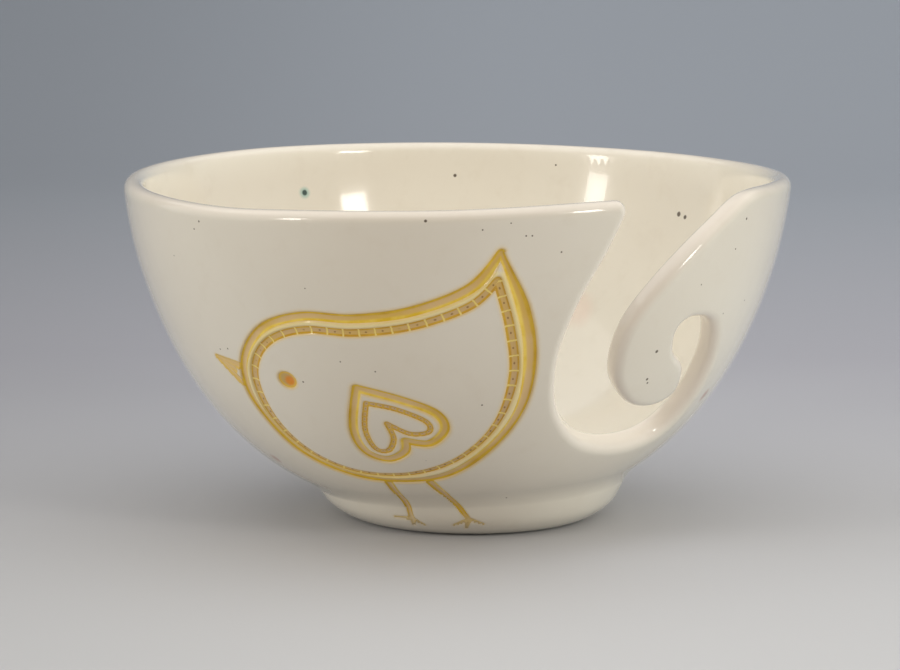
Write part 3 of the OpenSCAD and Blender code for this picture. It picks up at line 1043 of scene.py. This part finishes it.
def white_glaze(name):
    g = Graph(name)
    pos = g.object_coords()
    inner = g.attribute("inner")
    stain = g.attribute("halo")
    cloud = g.noise(14, 2, 0.5, pos)
    fine = g.noise(160, 3, 0.6, pos)
    outside = g.mix(g.span(cloud, 0.35, 0.65), SHADED_OUTSIDE_A, SHADED_OUTSIDE_B)
    inside = g.mix(g.span(cloud, 0.35, 0.65), LIT_INSIDE_A, LIT_INSIDE_B)
    # painted light and shade: the inner face takes the paler tones and the outer face the darker ones
    col = g.mix(g.span(inner, 0.3, 0.9), outside, inside)
    rim = g.times(g.span(inner, 0, 0.3), g.span(inner, 1, 0.6))
    col = g.mix(g.times(rim, 0.6), col, (246, 234, 220))
    col = g.mix(g.times(g.span(fine, 0.5, 0.8), 0.10), col, (206, 190, 166))
    uneven = g.span(g.noise(120, 3, 0.6, pos), 0.2, 0.75, 0.72, 1)
    # painted highlight and glaze: the raised ridge between the outline and the stitches is coloured pale
    # yellow, partly the thin yellow glaze on it and partly a painted highlight
    col = g.mix(g.times(g.attribute("ridge"), 0.7), col, (246, 228, 156))
    col = g.mix(g.times(g.times(stain, uneven), 0.8), col, (224, 184, 66))
    # tiny specks, strewn thinly
    vor = g.add("ShaderNodeTexVoronoi", feature="F1")
    g.put(vor.inputs["Vector"], pos)
    g.put(vor.inputs["Scale"], 150)
    keep = g.add("ShaderNodeSeparateColor")
    g.join(vor.outputs["Color"], keep.inputs[0])
    size = g.times(keep.outputs[1], 0.045)
    tiny = g.times(g.span(g.minus(vor.outputs["Distance"], size), 0.03, 0),
                  g.math("GREATER_THAN", keep.outputs[0], 0.93))
    col = g.mix(g.times(tiny, 0.6), col, (120, 108, 96))
    for kind, places in SPECKS.items():
        for place in places:
            col = speck(g, col, pos, fine, kind, *place)
    rough = g.span(g.noise(40, 3, 0.5, pos), 0.3, 0.7, 0.10, 0.17)
    wave = g.plus(g.times(g.noise(55, 2, 0.5, pos), 0.8), g.times(fine, 0.12))
    g.surface(col, rough, wave, 0.16, 0.0006, Coat_Weight=0.6, Coat_Roughness=0.05, IOR=1.5)
    return g.mat


def yellow_glaze(name, stitched=False, faint=False, pitch=4.1, dots=0.34, bars=0.85, soft=False):
    g = Graph(name)
    pos = g.object_coords()
    across = g.attribute("across")
    side = g.attribute("side")
    streak = g.noise(230, 3, 0.55, pos)
    blotch = g.noise(60, 2, 0.5, pos)
    centre = g.mix(g.span(blotch, 0.4, 0.62), (222, 188, 130), (220, 180, 84))
    dark = g.mix(g.span(streak, 0.3, 0.7), (208, 164, 10), (224, 184, 34))
    gold = g.mix(g.span(streak, 0.3, 0.7), (226, 186, 36), (240, 208, 90))
    # painted shade: the outer side of each groove is coloured darker yellow and the inner side paler gold,
    # standing in for the shaded upper wall of the groove at the top of the bird
    edge = g.mix(g.span(side, -0.5, 0.5), gold, dark)
    if soft:
        edge = g.mix(g.span(streak, 0.3, 0.7), (222, 184, 84), (230, 196, 112))
    rub = g.times(g.minus(blotch, 0.5), 0.8)
    col = g.mix(g.span(g.plus(across, rub), 0.28, 0.72), centre, edge)
    if stitched:
        along = g.attribute("along")
        slow = g.noise(38, 1, 0.5, pos)
        at = g.plus(g.times(along, 1 / pitch), g.times(slow, 0.35))
        cell = g.math("FRACT", at)
        end = g.times(g.math("MINIMUM", cell, g.minus(1, cell)), pitch)
        # how deep a point lies inside its rounded pad, in mm
        flat = g.plus(g.times(g.minus(0.84, across), 0.9), g.times(side, 0.12))
        inside = g.math("MINIMUM", end, flat)
        pad = g.mix(g.span(blotch, 0.35, 0.65), (208, 174, 122), (214, 176, 96))
        rim = g.mix(g.span(streak, 0.3, 0.7), (196, 146, 14), (214, 170, 40))
        body = g.mix(g.span(inside, 0.1, 0.42), rim, pad)
        gap = g.span(end, 0.32, 0.12)
        col = g.mix(g.times(gap, bars), body, (244, 222, 130))
        dx = g.times(g.minus(cell, g.plus(0.2, g.times(blotch, 0.6))), 0.8 * pitch / dots)
        dy = g.times(side, 1 / dots)
        dot = g.length(dx, dy)
        some = g.span(g.noise(47, 1, 0.5, pos), 0.36, 0.46)
        col = g.mix(g.times(g.times(g.span(dot, 1, 0.3), some), 0.75), col, (120, 74, 26))
    if faint:
        low = g.span(g.attribute("along"), 7.5, 4.6, 0, 0.55)
        col = g.mix(low, col, (226, 210, 172))
    rough = g.span(streak, 0.3, 0.7, 0.08, 0.16)
    g.surface(col, rough, streak, 0.08, 0.0003, Coat_Weight=0.4, Coat_Roughness=0.03, IOR=1.48)
    return g.mat


def eye_glaze(name):
    g = Graph(name)
    pos = g.object_coords()
    across = g.attribute("across")
    right = g.attribute("along")
    up = g.attribute("side")
    streak = g.noise(300, 3, 0.55, pos)
    dx, dy = g.minus(right, 0.5), g.plus(up, 0.35)
    away = g.length(dx, dy)
    core = g.span(g.plus(away, g.times(g.minus(streak, 0.5), 1.2)), 1.9, 0.7)
    col = g.mix(core, (198, 164, 96), (220, 134, 0))
    col = g.mix(g.span(across, 0.6, 0.92), col, (222, 178, 60))
    g.surface(col, 0.1, streak, 0.08, 0.0003, Coat_Weight=0.4, Coat_Roughness=0.03, IOR=1.48)
    return g.mat


white = white_glaze("white_glaze_look")
for obj in (bowl, foot):
    obj.data.materials.append(white)
    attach(obj, "root")
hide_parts("bowl_wall")
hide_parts("foot_ring")

yellow = yellow_glaze("yellow_glaze_look")
stitched = yellow_glaze("stitch_glaze_look", stitched=True)
small_stitched = yellow_glaze("small_stitch_glaze_look", stitched=True, pitch=1.7, dots=0.22, bars=0.15)
faint = yellow_glaze("thin_glaze_look", faint=True)
soft = yellow_glaze("soft_glaze_look", soft=True)
dark = eye_glaze("eye_glaze_look")
looks = {"bird_stitches": stitched, "heart_stitches": small_stitched, "bird_eye": dark, "bird_beak": soft,
         "left_toes": faint, "right_toes": faint}
for node, obj in pieces.items():
    obj.data.materials.append(looks.get(node, yellow))
    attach(obj, "root")
    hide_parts(node)

# -------------------- the set

def backdrop():
    """A pale table that sweeps up behind the bowl."""
    r, bend_y = 0.55, 0.75
    prof = [(y, 0.0) for y in (-1.6, -1.2, -0.8, -0.5, -0.3, -0.1, 0.1, 0.3, 0.5)]
    prof += [(bend_y + r * math.sin(a), r - r * math.cos(a)) for a in np.linspace(0, math.pi / 2, 16)]
    prof += [(bend_y + r, r + rise) for rise in (0.3, 0.8, 1.4)]
    xs = np.linspace(-2.2, 2.2, 12)
    verts = [(x, y, z) for y, z in prof for x in xs]
    n = len(xs)
    faces = [[i * n + j, i * n + j + 1, (i + 1) * n + j + 1, (i + 1) * n + j]
             for i in range(len(prof) - 1) for j in range(n - 1)]
    return make_mesh("backdrop", np.array(verts) * MM, faces)


# Tone of the paper at each distance behind the bowl, darker further back as painted light falloff
PAPER_WITH_FALLOFF = [(-0.2, (201, 201, 202)), (-0.1, (197, 197, 199)), (0.04, (187, 187, 191)), (0.25, (168, 168, 176)),
         (0.68, (158, 163, 172)), (1.2, (142, 149, 160))]


def backdrop_look():
    g = Graph("backdrop_look")
    pos = g.object_coords()
    sep = g.add("ShaderNodeSeparateXYZ")
    g.join(pos, sep.inputs[0])
    fine = g.noise(900.0, 2.0, 0.5, pos)
    ramp = g.add("ShaderNodeValToRGB")
    g.join(g.span(sep.outputs[1], -0.2, 1.3, smooth=False), ramp.inputs[0])
    for k, (y, tone) in enumerate(PAPER_WITH_FALLOFF):
        at = (y + 0.2) / 1.5
        stop = ramp.color_ramp.elements[k] if k < 2 else ramp.color_ramp.elements.new(at)
        stop.position = at
        stop.color = srgb(*tone)
    # painted light: the backdrop is a little brighter to the right
    side = g.span(sep.outputs[0], -0.26, 0.06, 0.80, 1.09)
    col = g.mix(1.0, ramp.outputs[0], side, "MULTIPLY")
    g.surface(col, 0.75, fine, 0.05, 0.0002)
    return g.mat


floor = backdrop()
floor.data.materials.append(backdrop_look())


def area(name, where, aim, size, power, color, size_y):
    """A rectangular lamp that looks from one place at another."""
    data = bpy.data.lights.new(name, "AREA")
    data.shape = "RECTANGLE"
    data.size = size
    data.size_y = size_y
    data.energy = power
    data.color = color
    obj = bpy.data.objects.new(name, data)
    bpy.context.scene.collection.objects.link(obj)
    obj.location = where
    obj.rotation_euler = (Vector(aim) - Vector(where)).to_track_quat("-Z", "Y").to_euler()
    return obj


def from_side(angle, height, dist):
    """A place at an angle from the front and a height angle, both in degrees, seen from the bowl."""
    a, h = math.radians(angle), math.radians(height)
    return (dist * math.cos(h) * math.sin(a), -dist * math.cos(h) * math.cos(a), dist * math.sin(h) + 0.05)


WARM, AT_BOWL = (1.0, 0.95, 0.88), (0.0, 0.0, 0.05)
area("lamp_right", from_side(44, 25, 1.35), AT_BOWL, 0.24, 2.8, WARM, 0.32)
area("lamp_left", from_side(-58, 19, 1.35), AT_BOWL, 0.2, 1.8, WARM, 0.34)
area("overhead", (0.0, 0.15, 1.1), (0.0, 0.05, 0.05), 2.4, 10.0, (1.0, 0.985, 0.95), 2.2)
sides = [area("side_right", from_side(88, 2, 1.2), (0.0, 0.0, 0.04), 0.9, 4.6, (0.89, 1.0, 0.98), 0.14),
         area("side_left", from_side(-88, 2, 1.2), (0.0, 0.0, 0.04), 0.9, 4.2, (0.95, 1.0, 0.98), 0.14)]
for lamp in sides:
    lamp.visible_glossy = False

# an even sky, dimmer and warmer towards the front of the room
world = bpy.data.worlds.new("studio")
bpy.context.scene.world = world
world.use_nodes = True
tree = world.node_tree
bg = tree.nodes["Background"]
facing = tree.nodes.new("ShaderNodeTexCoord")
split = tree.nodes.new("ShaderNodeSeparateXYZ")
front = tree.nodes.new("ShaderNodeMapRange")
blend = tree.nodes.new("ShaderNodeMix")
blend.data_type = "RGBA"
front.inputs["From Min"].default_value = -0.2
front.inputs["From Max"].default_value = -0.95
blend.inputs[6].default_value = (0.93, 0.93, 0.92, 1.0)
blend.inputs[7].default_value = (0.50, 0.43, 0.35, 1.0)
tree.links.new(facing.outputs["Generated"], split.inputs[0])
tree.links.new(split.outputs[1], front.inputs[0])
tree.links.new(front.outputs[0], blend.inputs[0])
tree.links.new(blend.outputs[2], bg.inputs[0])
bg.inputs[1].default_value = 0.64

scene = bpy.context.scene
scene.view_settings.view_transform = "Standard"

# -------------------- the camera

cam_data = bpy.data.cameras.new("camera")
cam_data.sensor_width = 36.0
cam_data.lens = 144.14
cam_data.clip_end = 20.0
cam = bpy.data.objects.new("camera", cam_data)
bpy.context.scene.collection.objects.link(cam)
cam_at = Vector((0.0, -0.8893, 0.1801))
aim_at = Vector((-0.00167, 0.0, 0.0445))
turn = (aim_at - cam_at).to_track_quat("-Z", "Y").to_matrix() @ Matrix.Rotation(math.radians(0.29), 3, "Z")
cam.matrix_world = Matrix.Translation(cam_at) @ turn.to_4x4()
bpy.context.scene.camera = cam
